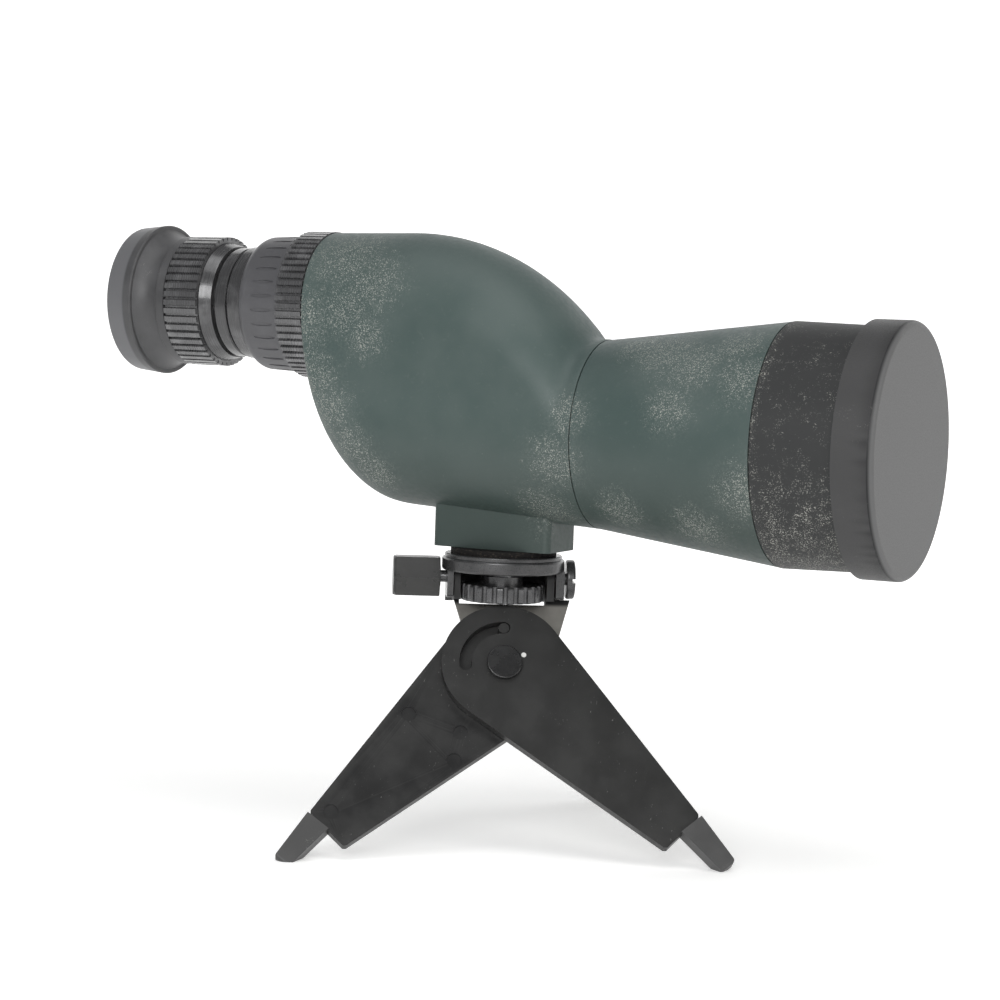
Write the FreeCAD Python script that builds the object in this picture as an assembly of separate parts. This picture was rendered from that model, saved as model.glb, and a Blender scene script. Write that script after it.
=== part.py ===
import FreeCAD, Part
import math
import os
from FreeCAD import Matrix, Placement, Rotation, Vector

# Compact 50 mm spotting scope on a folding table tripod.  Millimetres, +Z up.
# Drawn first with x = 0 at the front face of the objective cap and z = 0 on
# the objective axis; place_on_floor() then moves everything to its own frame.

# ---- scope: places along the tube, from the front of the cap --------------
CAP_R = 29.5
CAP_DEPTH = 9.5
CAP_FACE = 1.8
CAP_EDGE = 1.4
RING_FRONT = -2.4
RING_REAR = -28.9
RING_FRONT_R = 27.9
RING_REAR_R = 28.4
SLEEVE_R = 26.0
CELL_R = 24.0
LENS_R = 22.4
BARREL_BORE = 21.0
SEAM_X = -74.8
SEAM_R = 22.4
SEAM_GROOVE = 0.3
SPIGOT_R = 19.8
WALL = 2.2

REAR_X = -148.7
REAR_R = 17.9
EYE_Z = 28.2
CROWN_Z = 46.5
CROWN_X = -126.0
SLOPE_R = 58.5
HEEL_X = -124.0
HEEL_Z = -19.6

FOOT_X1 = -116.2
FOOT_X2 = -85.4
FOOT_HALF = 7.9
FOOT_Z = -28.6
FOOT_CORNER = 1.6
SCREW_X = (FOOT_X1 + FOOT_X2) / 2
SCREW_R = 3.15
INSERT_R = 4.6
INSERT_DEPTH = 7.0

# ---- eyepiece: places behind the housing ----------------------------------
FOCUS_R = 18.1
FOCUS_RIBS = 60
FOCUS_FLANGE = 7.2
GRIP_R = 16.9
GRIP_REAR_R = 15.5
GRIP_LONG = 11.8
GRIP_MARKS = 30
SOCKET_R = 13.0
BORE_R = 11.4
TUBE_R = 11.3
TUBE_BORE = 9.9
RING_B_X = -168.2
RING_B_R = 13.9
RING_A_R = 13.6
COLLAR_X = -176.8
ZOOM_X = -179.9
ZOOM_LONG = 9.3
ZOOM_R = 16.2
ZOOM_RIBS = 48
CUP_X = -189.5
CUP_GROOVE = -197.5
CUP_LIP = -205.0
CUP_R = 18.8
CUP_LIP_R = 18.1
RUN = 0.1
GAP = 0.3
SEW = 0.001

# ---- tripod, in its own frame: x across the legs, y away from the front ----
TRIPOD_YAW = 30.0
PAD_R = 12.75
PAD_T = 1.4
DISC_R = 14.8
DISC_RIM = 0.9
DISC_T = 4.1
TILT_Z = -35.9
STUD_R = 1.45
STUD_IN = 10.45
LUGS = ((-13.6, -12.1), (12.6, 14.6))
LUG_R = 4.4
LUG_Z = -40.6
EARS = ((-11.8, -10.35), (10.5, 12.3))
EAR_R = 3.2
SKIRT_T = 1.6
SKIRT_Z = -42.3
KNOB_X = -15.1
KNOB_HEX_X = -15.3
KNOB_LONG = 11.2
KNOB_R = 5.37
SCREW_HEAD_X = 15.2
SCREW_HEAD_T = 2.1
SCREW_HEAD_R = 4.75
WHEEL_R = 10.0
WHEEL_T = 4.0
WHEEL_TOP = -37.4
WHEEL_LOBES = 24
YOKE_LEFT = -11.8
YOKE_RIGHT = 16.5
CORNER_Z = -41.1
RIDGE_SLOPE = 22.8
RIDGE_Z = -44.0
RIDGE_FRONT = -1.0
RIDGE_REAR = 3.6
PLATE_T = 2.8
FRONT_LEAN = 30.0
REAR_LEAN = 41.0
PIVOT_Y = -14.1
PIVOT_Z = -54.9
REAR_DROP = 15.4
LEG_T = 2.6
LEG_HEAD_R = 14.9
REAR_HEAD_R = 8.0
LEG_LONG = 58.2
LEG_END = 5.9
FOOT_LONG = 13.1
FRONT_SPREAD = 45.0
REAR_SWING = 35.0
SLOT_R = 9.2
SLOT_HALF = 1.5
PIN_R = 1.3
PIVOT_R = 2.0
PIVOT_CAP_R = 4.2
PIVOT_CAP_T = 0.8
FLOOR_Z = -98.8
LEG_GAP = 0.3
FRONT_FACE = -2 * LEG_T - 2 * LEG_GAP

PARTS = {}


def keep(name, shape):
    """File a finished solid, or a group of separate solids, under its name."""
    PARTS[name] = shape
    return shape


def path(start, *steps):
    """Closed face in the XZ plane; a step is a point, or (via, end) for an arc."""
    at = start
    edges = []
    for step in list(steps) + [start]:
        curved = isinstance(step[0], tuple)
        end = step[1] if curved else step
        a = Vector(at[0], 0, at[1])
        b = Vector(end[0], 0, end[1])
        if curved:
            via = Vector(step[0][0], 0, step[0][1])
            edges.append(Part.Arc(a, via, b).toShape())
        elif a.distanceToPoint(b) > 1e-6:
            edges.append(Part.makeLine(a, b))
        at = end
    return Part.Face(Part.Wire(edges))


def turned(z, start, *steps):
    """Solid of revolution about the line y = 0 at height z; points are (x, radius)."""
    face = path(start, *steps)
    face.translate(Vector(0, 0, z))
    return face.revolve(Vector(0, 0, z), Vector(1, 0, 0), 360)


def dome(vertex, edge, r):
    """Arc step from a lens vertex on the axis to its rim: (via, end)."""
    sag = edge - vertex
    ball = (r * r + sag * sag) / (2 * abs(sag))
    half = ball - math.sqrt(ball * ball - r * r / 4)
    return (vertex + math.copysign(half, sag), r / 2), (edge, r)


def dome_back(edge, vertex, r):
    """Arc step from the rim of a lens back to its vertex on the axis."""
    return dome(vertex, edge, r)[0], (vertex, 0)


def rod(x1, x2, r, z=0.0, y=0.0):
    return Part.makeCylinder(r, abs(x2 - x1), Vector(min(x1, x2), y, z), Vector(1, 0, 0))


def ring(x1, x2, r_out, r_in, z=0.0):
    return rod(x1, x2, r_out, z).cut(rod(min(x1, x2) - 1, max(x1, x2) + 1, r_in, z))


def box(x1, x2, y1, y2, z1, z2):
    return Part.makeBox(x2 - x1, y2 - y1, z2 - z1, Vector(x1, y1, z1))


def polar(shape, count, z=0.0, axis=Vector(1, 0, 0), origin=None):
    """The shape repeated evenly round an axis."""
    origin = origin or Vector(0, 0, z)
    copies = []
    for i in range(count):
        copy = shape.copy()
        copy.rotate(origin, axis, 360.0 * i / count)
        copies.append(copy)
    return copies


def ribbed(x1, x2, r_top, r_root, count, land, z):
    """Ribbed band about the X axis: lands at r_top, valleys at r_root."""
    step = 2 * math.pi / count
    points = []
    for i in range(count):
        for share, r in ((0.0, r_top), (land, r_top), (land + 0.1, r_root), (0.9, r_root)):
            a = (i + share) * step
            points.append(Vector(min(x1, x2), r * math.cos(a), z + r * math.sin(a)))
    face = Part.Face(Part.makePolygon(points + [points[0]]))
    return face.extrude(Vector(abs(x2 - x1), 0, 0))


# ---- objective end ---------------------------------------------------------

def objective_cap():
    r = CAP_R
    e = CAP_EDGE
    k = e * (1 - math.sqrt(0.5))
    bore = RING_FRONT_R + GAP
    cap = turned(0, (0, 0), (0, r - e), ((-k, r - k), (-e, r)), (-CAP_DEPTH, r),
                 (-CAP_DEPTH, bore), (-CAP_FACE, bore), (-CAP_FACE, 0))
    return keep("objective_cap", cap)


def objective_barrel():
    """Cone with the sleeve that carries the rubber ring and a rear spigot."""
    front = -4.0
    barrel = turned(0, (front, SLEEVE_R), (RING_REAR, SLEEVE_R), (RING_REAR, RING_REAR_R - 0.1),
                    (SEAM_X + SEAM_GROOVE, SEAM_R), (SEAM_X + SEAM_GROOVE, SEAM_R - 0.5),
                    (SEAM_X, SEAM_R - 0.5), (SEAM_X, SPIGOT_R), (SEAM_X - 5, SPIGOT_R),
                    (SEAM_X - 5, SPIGOT_R - WALL), (SEAM_X - 0.5, SPIGOT_R - WALL),
                    (-20, BARREL_BORE + 1), (-18, BARREL_BORE + 1), (-18, CELL_R), (front, CELL_R))
    return keep("objective_barrel", barrel)


def objective_rubber_ring():
    shape = turned(0, (RING_FRONT, SLEEVE_R), (RING_FRONT, RING_FRONT_R - 0.5),
                   (RING_FRONT - 0.5, RING_FRONT_R), (RING_REAR + 0.4, RING_REAR_R),
                   (RING_REAR, RING_REAR_R - 0.4), (RING_REAR, SLEEVE_R))
    return keep("objective_rubber_ring", shape)


def objective_glass():
    """Achromat: crown and flint in a threaded cell behind a retaining ring."""
    cell = turned(0, (-4.5, CELL_R), (-7.4, CELL_R), (-7.4, CELL_R - 1.1), (-8.6, CELL_R - 1.1),
                  (-8.6, CELL_R), (-17.9, CELL_R), (-17.9, 20.5), (-16.5, 20.5),
                  (-16.5, LENS_R), (-4.5, LENS_R))
    keep("objective_cell", cell)
    crown = turned(0, (-6.0, 0), dome(-6.0, -8.4, LENS_R), (-11.0, LENS_R),
                   dome_back(-11.0, -12.9, LENS_R))
    keep("crown_lens", crown)
    flint = turned(0, (-13.0, 0), dome(-13.0, -11.1, LENS_R), (-16.4, LENS_R),
                   (-16.4, 19.5), dome_back(-16.4, -15.2, 19.5))
    keep("flint_lens", flint)
    keep("objective_retaining_ring", ring(-4.5, -7.7, LENS_R, 21.0))
    seal = Part.makeTorus(CELL_R - 0.55, 0.5, Vector(-8.0, 0, 0), Vector(1, 0, 0))
    keep("objective_o_ring", seal)
    baffle = turned(0, (-50, 15), (-50.8, 15), (-50.8, 19.4), (-50, 19.4))
    keep("light_baffle", baffle)


# ---- prism housing ---------------------------------------------------------

def housing_top(x):
    """Crown of the housing: nearly flat, then a circular slope down to the seam."""
    if x <= CROWN_X:
        rise = (CROWN_X - x) / (CROWN_X - REAR_X)
        return CROWN_Z - (CROWN_Z - EYE_Z - REAR_R) * rise
    run = min(x - CROWN_X, SLOPE_R * 0.99)
    slope = CROWN_Z - SLOPE_R + math.sqrt(SLOPE_R ** 2 - run ** 2)
    return SEAM_R + smooth_floor(slope - SEAM_R, 1.0)


def smooth_floor(value, soft):
    """max(value, 0) with a small fillet."""
    return (value + math.sqrt(value * value + soft * soft)) / 2


def housing_bottom(x):
    """Belly line: an elliptical heel at the rear, then straight to the seam."""
    if x < HEEL_X:
        share = (HEEL_X - x) / (HEEL_X - REAR_X)
        top = EYE_Z - REAR_R
        return top - (top - HEEL_Z) * math.sqrt(max(0.0, 1 - share ** 2))
    share = (x - HEEL_X) / (SEAM_X - HEEL_X)
    return HEEL_Z + (-SEAM_R - HEEL_Z) * share


def housing_half(x):
    share = (x - REAR_X) / (SEAM_X - REAR_X)
    return REAR_R + (SEAM_R - REAR_R) * share


def section(x, inset):
    """Points round one section of the housing: two half rounds and straight sides."""
    top = housing_top(x) - inset
    bottom = housing_bottom(x) + inset
    half = min(housing_half(x) - inset, (top - bottom) / 2)
    side = top - bottom - 2 * half
    around = 2 * (math.pi * half + side)
    count = 48
    start = around / 2
    return [stadium_point(x, (start + i * around / count) % around, half, side, top - half)
            for i in range(count + 1)]


def stadium_point(x, run, half, side, z_top):
    """Point at arc length run from the crown, going towards +Y first."""
    z_low = z_top - side
    quarter = math.pi * half / 2
    if run < quarter:
        a = math.pi / 2 - run / half
        return Vector(x, half * math.cos(a), z_top + half * math.sin(a))
    run -= quarter
    if run < side:
        return Vector(x, half, z_top - run)
    run -= side
    if run < 2 * quarter:
        a = -run / half
        return Vector(x, half * math.cos(a), z_low + half * math.sin(a))
    run -= 2 * quarter
    if run < side:
        return Vector(x, -half, z_low + run)
    run -= side
    a = math.pi - run / half
    return Vector(x, half * math.cos(a), z_top + half * math.sin(a))


def smooth_solid(stations, inset):
    """Closed solid through all the sections, as one smooth surface and two flat ends."""
    grid = [section(x, inset) for x in stations]
    surface = Part.BSplineSurface()
    surface.interpolate(grid)
    skin = surface.toShape()
    ends = []
    for edge in skin.Edges:
        if edge.BoundBox.XLength < 1e-3:
            ends.append(Part.Face(Part.Wire(edge)))
    solid = Part.Solid(Part.makeShell([skin.Faces[0]] + ends))
    solid.fix(SEW, SEW, SEW)
    return solid


def prism_housing():
    heel = [REAR_X + (HEEL_X - REAR_X) * (1 - math.cos(math.radians(7.5 * i))) for i in range(11)]
    middle = [HEEL_X + 4.0 * i for i in range(9)]
    slope = [-88.7, -85.7, -83.0, -80.8, -79.2, -77.8, -76.4, SEAM_X]
    outer = smooth_solid(heel + middle + slope, 0.0)
    inner = smooth_solid([x + WALL for x in heel[1:]] + middle[1:] + slope[:-4], WALL)
    foot = box(FOOT_X1, FOOT_X2, -FOOT_HALF, FOOT_HALF, FOOT_Z, -15.0)
    upright = [e for e in foot.Edges if abs(e.tangentAt(0).z) > 0.9]
    foot = foot.makeFillet(FOOT_CORNER, upright)
    body = outer.fuse(foot).cut(inner)
    body = body.cut(rod(SEAM_X - 8, SEAM_X + 1, SPIGOT_R))
    body = body.cut(rod(REAR_X - 1, REAR_X + 6, SOCKET_R, EYE_Z))
    insert = Part.makeCylinder(INSERT_R, INSERT_DEPTH, Vector(SCREW_X, 0, FOOT_Z))
    body = body.cut(insert)
    for sign in (-1, 1):
        body = body.cut(Part.makeCylinder(1.0, 8, Vector(SCREW_X + sign * 11, 0, FOOT_Z)))
    keep("prism_housing", body.removeSplitter())
    bore = Part.makeCylinder(SCREW_R + 0.1, INSERT_DEPTH, Vector(SCREW_X, 0, FOOT_Z))
    keep("tripod_insert", insert.cut(bore))


def prism_set():
    """Roof pair on the objective axis and a rhomboid that lifts the beam."""
    half = 8.0
    front = -88.0
    wedge = path((front, -half), (front - 12, -half), (front - 3.0, half), (front, half))
    pechan = wedge.extrude(Vector(0, 2 * half, 0))
    pechan.translate(Vector(0, -half, 0))
    keep("pechan_prism", pechan)
    roof = path((front - 3.6, half), (front - 12.6, -half), (front - 18, -half), (front - 18, half))
    schmidt = roof.extrude(Vector(0, 2 * half, 0))
    schmidt.translate(Vector(0, -half, 0))
    keep("schmidt_prism", schmidt)
    entry = -112.0
    lift = path((entry, -half), (entry, EYE_Z - half), (entry - 2 * half, EYE_Z + half),
                (entry - 2 * half, half))
    rhomboid = lift.extrude(Vector(0, 2 * half, 0))
    rhomboid.translate(Vector(0, -half, 0))
    keep("rhomboid_prism", rhomboid)
    tray = box(-132, -84, half + 0.1, half + 2.0, -11, 38)
    tray = tray.cut(box(-110, -83, half, half + 3, 11, 39))
    tray = tray.cut(box(-133, -129.5, half, half + 3, -12, 5))
    keep("prism_tray", tray)
    posts = []
    for x, z in ((-87.0, 9.6), (-107.5, 9.6), (-109.3, -9.6), (-130.4, 36.0)):
        posts.append(Part.makeCylinder(1.2, 16, Vector(x, half + 0.1, z), Vector(0, -1, 0)))
    keep("prism_posts", Part.makeCompound(posts))
    clips = [box(-108.2, -86.2, -half - 0.9, -half - 0.1, -2, 2),
             box(-127.0, -113.0, -half - 0.9, -half - 0.1, 12, 16)]
    keep("prism_clips", Part.makeCompound(clips))


# ---- eyepiece --------------------------------------------------------------

def eyepiece_socket():
    """Fixed threaded sleeve that carries the focus ring and guides the eyepiece."""
    z = EYE_Z
    inside = REAR_X + WALL + 0.6
    sleeve = turned(z, (inside + 2, BORE_R), (inside + 2, 14.5), (inside, 14.5),
                    (inside, SOCKET_R), (RING_B_X + 3, SOCKET_R), (RING_B_X + 3, BORE_R))
    keep("eyepiece_socket", sleeve)


def focus_parts():
    z = EYE_Z
    front = REAR_X - GAP
    flange = front - FOCUS_FLANGE
    end = flange - GRIP_LONG
    body = ribbed(front, flange, FOCUS_R, FOCUS_R - 0.75, FOCUS_RIBS, 0.55, z)
    body = body.fuse(rod(flange, end + 0.4, 14.7, z))
    body = body.cut(rod(front + 1, end - 1, SOCKET_R + RUN, z))
    keep("focus_ring", body)
    shoulder = end + 2.2
    grip = turned(z, (flange, 14.7), (flange, GRIP_R), (shoulder, GRIP_R - 0.4),
                  ((end + 0.5, GRIP_R - 1.1), (end, GRIP_REAR_R - 0.3)), (end, 14.7))
    mark = Part.makeCylinder(1.3, 0.9)
    oval = Matrix()
    oval.scale(2.3, 0.36, 1.0)
    mark = mark.transformGeometry(oval)
    mark.translate(Vector(flange - 4.6, 0, z + GRIP_R - 0.45))
    grip = grip.cut(Part.makeCompound(polar(mark, GRIP_MARKS, z)))
    keep("focus_grip", grip)


def eyepiece_barrel():
    """Sliding tube with its two polished rings and the collar before the zoom ring."""
    z = EYE_Z
    a = RING_B_X
    barrel = turned(z, (-152.0, TUBE_BORE), (-152.0, TUBE_R), (a, TUBE_R), (a, RING_B_R - 0.3),
                    (a - 0.4, RING_B_R), (a - 3.9, RING_B_R), (a - 4.2, RING_B_R - 0.3),
                    (a - 4.2, RING_B_R - 1.3), (a - 4.8, RING_B_R - 1.3), (a - 4.8, RING_A_R - 0.3),
                    (a - 5.1, RING_A_R), (a - 7.6, RING_A_R), (a - 7.9, RING_A_R - 0.3),
                    (a - 7.9, RING_A_R - 1.3), (COLLAR_X, RING_A_R - 1.3), (COLLAR_X, RING_B_R),
                    (ZOOM_X + 0.15, 14.9), (ZOOM_X + 0.15, TUBE_R), (-199.0, TUBE_R),
                    (-199.0, TUBE_BORE))
    slot = ring(-185.6, -183.4, 12, 9, z).cut(box(-187, -182, -20, 20, z - 20, z + 1))
    keep("eyepiece_barrel", barrel.cut(slot))


def zoom_parts():
    z = EYE_Z
    end = ZOOM_X - ZOOM_LONG
    body = ribbed(ZOOM_X, end, ZOOM_R, ZOOM_R - 0.8, ZOOM_RIBS, 0.6, z)
    body = body.cut(rod(ZOOM_X + 1, end - 1, TUBE_R + RUN, z))
    key_hole = Part.makeCylinder(0.8, 5.0, Vector(-184.5, 0, z + 8.8))
    keep("zoom_ring", body.cut(key_hole))
    keep("zoom_cam_sleeve", ring(-160, -188, TUBE_BORE - RUN, 8.9, z).cut(key_hole))
    keep("zoom_key_screw", Part.makeCylinder(0.75, 4.7, Vector(-184.5, 0, z + 9.0)))
    for name, x in (("front_zoom", -163.0), ("rear_zoom", -176.0)):
        bore = 6.6
        cell = ring(x, x - 5.0, 8.9 - RUN, bore, z)
        keep(name + "_cell", cell)
        lens = turned(z, (x - 1.0, 0), dome(x - 1.0, x - 2.0, bore), (x - 3.0, bore),
                      dome_back(x - 3.0, x - 4.0, bore))
        keep(name + "_lens", lens)


def eye_end():
    z = EYE_Z
    r = TUBE_BORE
    cell = turned(z, (-189.0, 8.4), (-189.0, r), (-199.0, r), (-199.0, 9.0), (-190.2, 9.0),
                  (-190.2, 8.4))
    keep("eye_lens_cell", cell)
    lens = turned(z, (-191.0, 0), dome(-191.0, -192.6, 9.0), (-195.0, 9.0),
                  dome_back(-195.0, -196.5, 9.0))
    keep("eye_lens", lens)
    keep("eye_lens_retainer", ring(-196.6, -199.0, 9.0, 8.0, z))
    cup = turned(z, (CUP_X, TUBE_R), (CUP_X, 16.0), (-191.6, 16.1), (-191.9, 15.8),
                 ((-195.0, 16.1), (CUP_GROOVE, 17.7)), (CUP_GROOVE, CUP_R - 0.3),
                 (CUP_GROOVE - 0.3, CUP_R), (CUP_LIP + 0.9, CUP_LIP_R),
                 ((CUP_LIP + 0.1, CUP_LIP_R - 0.5), (CUP_LIP, CUP_LIP_R - 1.2)),
                 (CUP_LIP, CUP_LIP_R - 1.9), ((-203.0, 14.4), (-199.1, 12.6)), (-199.1, TUBE_R))
    keep("eyecup", cup)


# ---- tripod head, in the tripod's own frame --------------------------------

def place_tripod(shape):
    """From the tripod's frame to the scope's: turned under the mounting screw."""
    shape.rotate(Vector(0, 0, 0), Vector(0, 0, 1), TRIPOD_YAW)
    shape.translate(Vector(SCREW_X, 0, 0))
    return shape


def keep_tripod(name, shape):
    return keep(name, place_tripod(shape))


def post(r, z1, z2):
    return Part.makeCylinder(r, z2 - z1, Vector(0, 0, z1))


def lug(x1, x2, r, z_far):
    """Flat lug across X: round about the tilt axis and running to height z_far."""
    disc = rod(x1, x2, r, TILT_Z)
    block = box(x1, x2, -r, r, min(z_far, TILT_Z), max(z_far, TILT_Z))
    return disc.fuse(block)


def platform_parts():
    """Pad, and the round platform with its two lugs and a skirt behind the wheel."""
    pad_top = FOOT_Z - 0.05
    disc_top = pad_top - PAD_T
    disc_low = disc_top - DISC_T
    pad = post(PAD_R, disc_top, pad_top).cut(post(SCREW_R + 0.4, disc_top - 1, pad_top + 1))
    keep_tripod("platform_pad", pad)
    disc = post(DISC_R, disc_low, disc_top - DISC_RIM)
    disc = disc.makeFillet(0.6, [e for e in disc.Edges if e.Closed])
    rim = post(DISC_R - 0.6, disc_low + 1, disc_top)
    disc = disc.fuse(rim.makeFillet(0.3, [e for e in rim.Edges if e.Closed]))
    shell = post(DISC_R - 0.4, SKIRT_Z, disc_low + 1)
    skirt = shell.cut(post(DISC_R - 0.4 - SKIRT_T, SKIRT_Z - 1, disc_low))
    skirt = skirt.common(box(LUGS[0][0], LUGS[1][1], 0, 20, -60, 0))
    clear = LUG_R + 0.6
    skirt = skirt.cut(box(LUGS[0][1], LUGS[1][0], -20, clear, -60, disc_low))
    skirt = skirt.cut(box(-20, 20, -20, clear, -60, LUG_Z))
    disc = disc.fuse(skirt)
    for x1, x2 in LUGS:
        piece = box(x1, x2, -LUG_R, LUG_R, LUG_Z, disc_low + 0.5)
        piece = piece.makeFillet(0.9, [e for e in piece.Edges if e.BoundBox.ZMax < LUG_Z + 0.1
                                       and e.BoundBox.XLength > 1])
        disc = disc.fuse(piece).cut(rod(x1 - 1, x2 + 1, STUD_R + 0.05, TILT_Z))
    for x1, x2 in EARS:
        disc = disc.cut(rod(x1 - 0.3, x2 + 0.3, EAR_R + 0.35, TILT_Z))
    disc = disc.cut(post(SCREW_R + 0.1, disc_low - 2, disc_top + 1))
    keep_tripod("camera_platform", disc.removeSplitter())
    return disc_low


def screw_parts(disc_low):
    top = FOOT_Z + INSERT_DEPTH - 1.5
    lead = 0.5
    screw = post(SCREW_R, WHEEL_TOP - WHEEL_T + 0.4, top - lead)
    screw = screw.fuse(Part.makeCone(SCREW_R, SCREW_R - lead, lead, Vector(0, 0, top - lead)))
    keep_tripod("camera_screw", screw)
    wheel = post(WHEEL_R, WHEEL_TOP - WHEEL_T, WHEEL_TOP)
    wheel = wheel.makeFillet(0.6, [e for e in wheel.Edges if e.Closed])
    low = WHEEL_TOP - WHEEL_T
    scallop = Part.makeCylinder(0.68, WHEEL_T + 2, Vector(WHEEL_R - 0.15, 0, low - 1))
    wheel = wheel.cut(Part.makeCompound(polar(scallop, WHEEL_LOBES, axis=Vector(0, 0, 1),
                                              origin=Vector(0, 0, 0))))
    wheel = wheel.fuse(post(5.0, WHEEL_TOP - 0.1, disc_low - GAP - 1.0))
    wheel = wheel.cut(post(SCREW_R, WHEEL_TOP - WHEEL_T - 1, disc_low))
    keep_tripod("thumb_wheel", wheel)
    clip = post(4.4, disc_low - 1.0, disc_low - 0.2).cut(post(SCREW_R, disc_low - 2, disc_low))
    keep_tripod("screw_clip", clip.cut(box(-1.6, 1.6, 0, 6, disc_low - 2, disc_low)))


def tilt_screws():
    """Left clamp knob on its stud, and the pivot screw with its round head."""
    far = KNOB_HEX_X - KNOB_LONG
    hexagon = []
    for i in range(6):
        a = math.radians(60 * i)
        hexagon.append(Vector(KNOB_HEX_X, KNOB_R * math.cos(a), TILT_Z + KNOB_R * math.sin(a)))
    knob = Part.Face(Part.makePolygon(hexagon + [hexagon[0]])).extrude(Vector(-KNOB_LONG, 0, 0))
    edge = KNOB_R + 0.2
    rounder = turned(TILT_Z, (KNOB_HEX_X, 0), (KNOB_HEX_X, edge - 0.5), (KNOB_HEX_X - 0.7, edge),
                     (far + 1.0, edge), (far, edge - 0.9), (far, 0))
    knob = knob.common(rounder).fuse(rod(KNOB_HEX_X - 0.5, KNOB_X, 2.6, TILT_Z))
    stud_end = KNOB_X - 7
    knob = knob.cut(rod(stud_end, KNOB_X + 1, STUD_R, TILT_Z))
    keep_tripod("tilt_knob", knob)
    keep_tripod("tilt_stud", rod(stud_end, -STUD_IN, STUD_R, TILT_Z))
    out = SCREW_HEAD_X + SCREW_HEAD_T
    head = rod(SCREW_HEAD_X, out, SCREW_HEAD_R, TILT_Z)
    head = head.makeFillet(0.5, [e for e in head.Edges if e.Closed])
    screw = rod(STUD_IN, SCREW_HEAD_X + 0.5, STUD_R, TILT_Z).fuse(head)
    screw = screw.cut(box(out - 0.8, out + 1, -6, 6, TILT_Z - 0.5, TILT_Z + 0.5))
    keep_tripod("tilt_pivot_screw", screw)


# ---- yoke and legs ---------------------------------------------------------

def plane_frame(lean, turn, origin):
    """Placement of a leaning plate: its X stays level and its Z points outward."""
    stand = Rotation(Vector(1, 0, 0), 90 - lean)
    side = Rotation(Vector(0, 0, 1), turn)
    return Placement(origin, side.multiply(stand))


def front_frame():
    return plane_frame(FRONT_LEAN, 0, Vector(0, PIVOT_Y, PIVOT_Z))


def rear_origin():
    a = math.radians(REAR_LEAN)
    return Vector(0, RIDGE_REAR + REAR_DROP * math.sin(a), RIDGE_Z - REAR_DROP * math.cos(a))


def rear_frame():
    """On the yoke's rear face; the rear leg lies just outside it."""
    return plane_frame(REAR_LEAN, 180, rear_origin())


def placed(shape, frame):
    shape = shape.copy()
    shape.Placement = frame.multiply(shape.Placement)
    return shape


def yoke_outline():
    """Outline of the frame from the front, wide at the ears and narrow at the pins."""
    top = TILT_Z + EAR_R + 1
    return path((YOKE_LEFT, top), (YOKE_RIGHT, top), (YOKE_RIGHT, CORNER_Z), (13.2, -51.0),
                (7.0, -70.0), (-7.0, -70.0), (-9.0, -49.0), (YOKE_LEFT, CORNER_Z))


def leg_yoke():
    """Cast A-frame: two leaning plates under a ridge, and two ears for the tilt axis."""
    front = placed(box(-20, 20, -9.0, 40, FRONT_FACE - PLATE_T, FRONT_FACE), front_frame())
    rear = placed(box(-20, 20, -7.0, 40, -PLATE_T, 0), rear_frame())
    front = front.cut(box(-30, 30, RIDGE_REAR - 1.0, 40, -80, 0))
    rear = rear.cut(box(-30, 30, -40, RIDGE_FRONT + 0.5, -80, 0))
    ridge = box(-20, 20, RIDGE_FRONT - 0.5, RIDGE_REAR, RIDGE_Z - 4.5, RIDGE_Z + 4)
    below = box(-30, 30, -60, 60, -100, RIDGE_Z)
    below.rotate(Vector(0, RIDGE_REAR, RIDGE_Z), Vector(1, 0, 0), -RIDGE_SLOPE)
    outline = yoke_outline().extrude(Vector(0, 80, 0))
    outline.translate(Vector(0, -40, 0))
    front_space = placed(box(-40, 40, -60, 60, FRONT_FACE, 40), front_frame())
    rear_space = placed(box(-40, 40, -60, 60, 0, 40), rear_frame())
    corners = front.common(box(-30, 30, -40, 40, -80, CORNER_Z))
    corners = corners.cut(box(EARS[0][1], EARS[1][0], -40, 40, -80, 0))
    body = front.fuse(ridge).fuse(rear).common(below).fuse(corners).common(outline)
    body = body.cut(front_space).cut(rear_space)
    for x1, x2 in EARS:
        ear = lug(x1, x2, EAR_R, RIDGE_Z - 1.5).cut(rod(x1 - 1, x2 + 1, STUD_R + RUN, TILT_Z))
        ear = ear.cut(front_space.common(box(-30, 30, -60, 60, -100, CORNER_Z)))
        body = body.fuse(ear.common(outline))
    for frame in (front_frame(), rear_frame()):
        body = body.cut(placed(Part.makeCylinder(PIVOT_R, 40, Vector(0, 0, -20)), frame))
    keep_tripod("leg_yoke", body.removeSplitter())


def leg_outline(head_r):
    """Flat leg along +X: round head at the origin, straight sides to a square end."""
    a = math.asin((head_r - LEG_END) / LEG_LONG)
    tangent = (head_r * math.sin(a), head_r * math.cos(a))
    corner = 0.6
    return path(tangent, (LEG_LONG - corner, LEG_END), (LEG_LONG, LEG_END - corner),
                (LEG_LONG, corner - LEG_END), (LEG_LONG - corner, -LEG_END),
                (tangent[0], -tangent[1]), ((-head_r, 0), tangent))


def flat(face, z1, z2):
    """Extrude an XZ outline into a plate lying in XY between z1 and z2."""
    face = face.copy()
    face.rotate(Vector(0, 0, 0), Vector(1, 0, 0), -90)
    plate = face.extrude(Vector(0, 0, z2 - z1))
    plate.translate(Vector(0, 0, z1))
    return plate


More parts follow.
